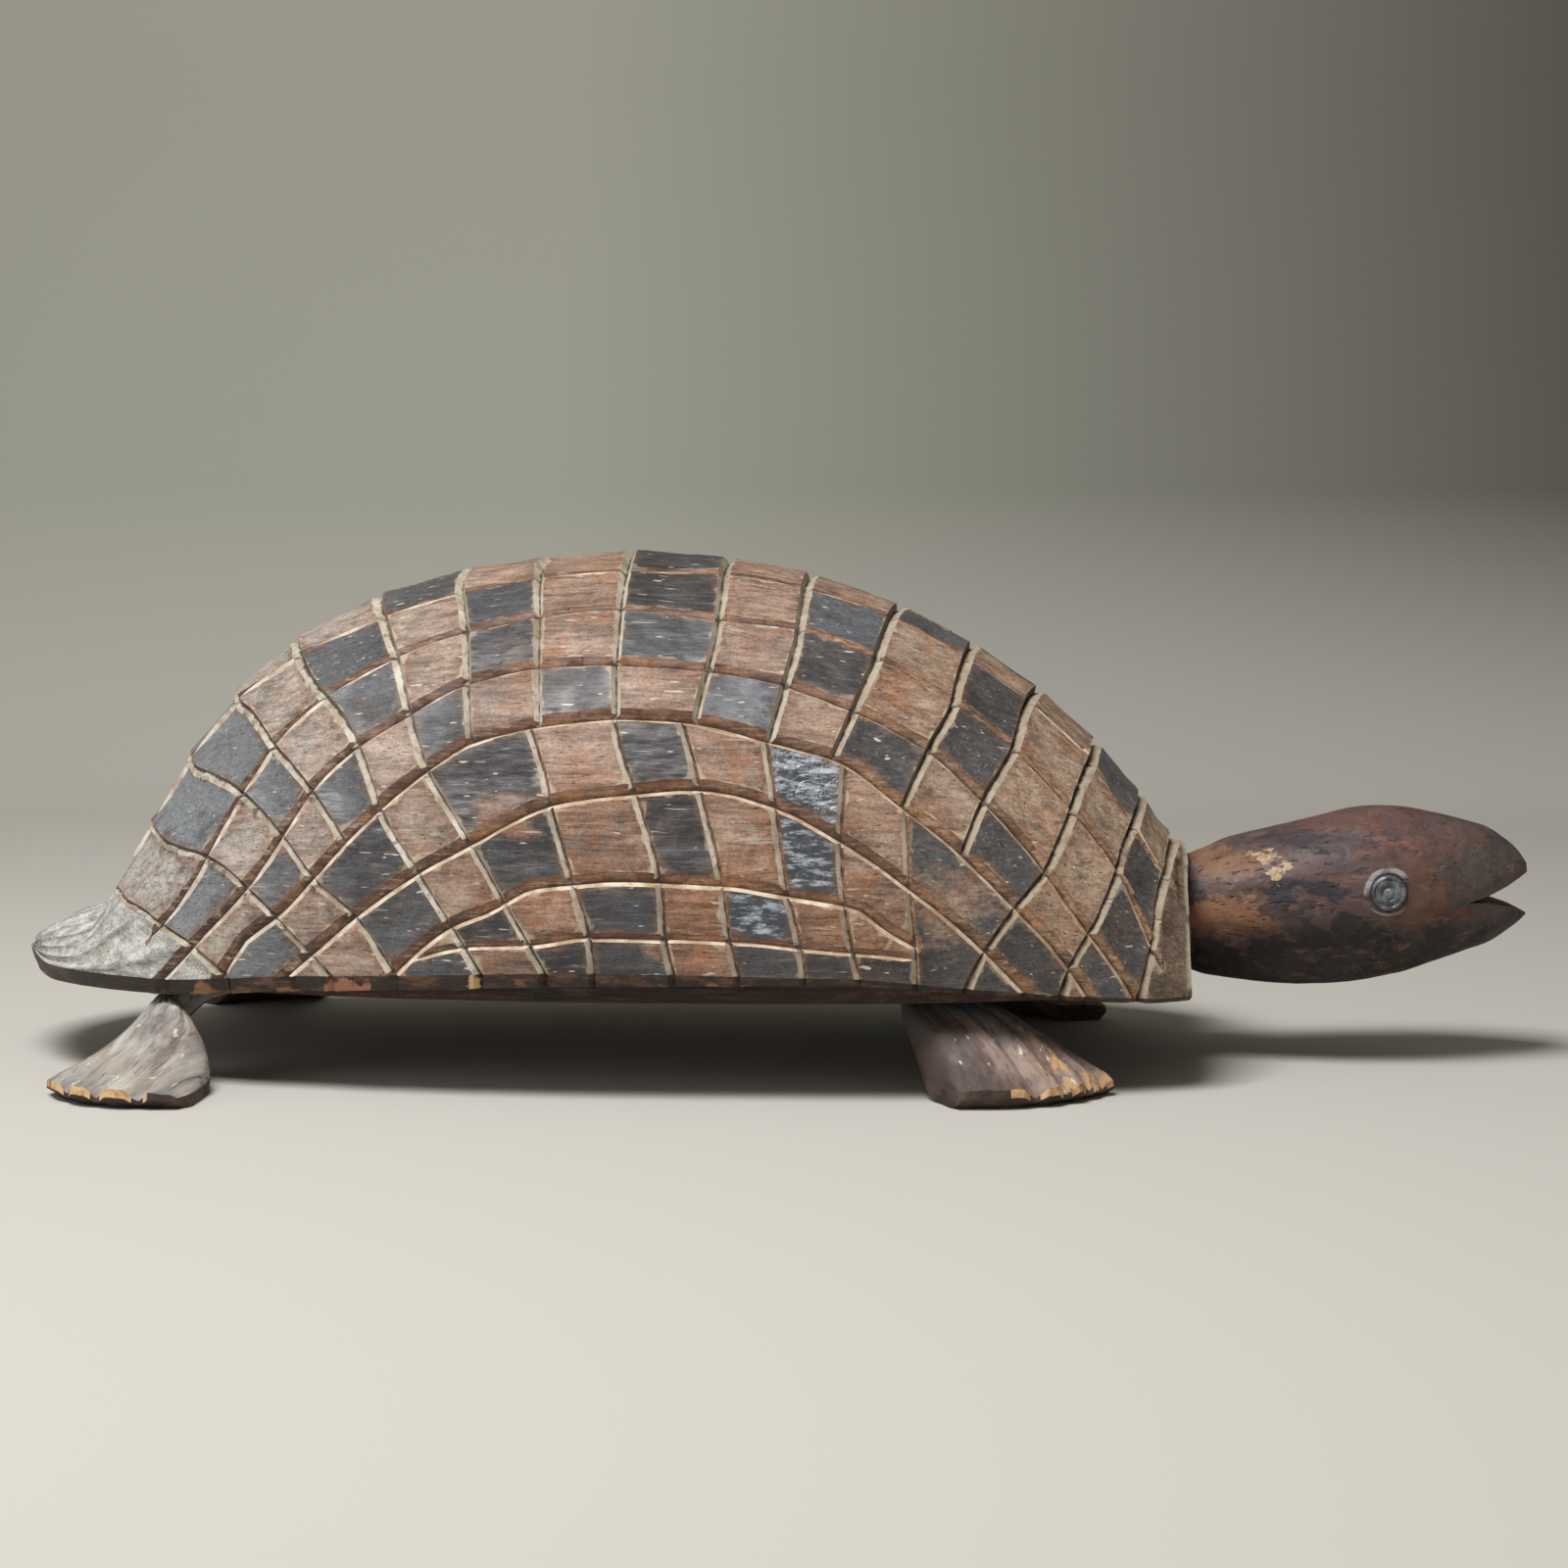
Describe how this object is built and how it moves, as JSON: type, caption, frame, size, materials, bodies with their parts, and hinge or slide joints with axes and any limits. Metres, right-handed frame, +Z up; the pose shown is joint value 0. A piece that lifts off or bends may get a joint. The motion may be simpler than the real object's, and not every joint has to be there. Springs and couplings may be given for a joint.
{
  "type": "carved wooden turtle figure",
  "caption": "Hand-carved wooden turtle with a domed shell scored into stained cells, splayed paddle legs and a head whose round neck turns in the shell.",
  "frame": {"origin": "centre of the footprint, on the plane that the soles stand on", "axes": "+X from the tail to the nose, +Y to the turtle's left, +Z up"},
  "size_m": [0.603, 0.274, 0.2024],
  "materials": {
    "shell_wood": "dark stained and blackened cells, waxed, worn edges",
    "belly_wood": "dark red-brown stain, dull",
    "head_wood": "red-brown stain, polished by handling",
    "leg_wood": "grey-brown stain, worn, dull",
    "peg_wood": "bare wood",
    "eye_stain": "blackened, polished"
  },
  "bodies": {
    "body": {"carapace": "shell_wood", "belly_board": "belly_wood", "neck_peg": "peg_wood", "leg_front_right": "leg_wood", "leg_pin_front_right": "peg_wood", "leg_rear_right": "leg_wood", "leg_pin_rear_right": "peg_wood", "leg_front_left": "leg_wood", "leg_pin_front_left": "peg_wood", "leg_rear_left": "leg_wood", "leg_pin_rear_left": "peg_wood", "board_peg_1": "peg_wood", "board_peg_2": "peg_wood", "board_peg_3": "peg_wood", "board_peg_4": "peg_wood", "board_peg_5": "peg_wood", "board_peg_6": "peg_wood"},
    "head": {"head": "head_wood", "eye_right": "eye_stain", "eye_left": "eye_stain"}
  },
  "joints": [
    {"name": "head_turn", "type": "hinge", "parent": "body", "child": "head", "pos_m": [0.1665, 0, 0.059], "axis": [1, 0, 0], "range_deg": [-30, 30]}
  ]
}
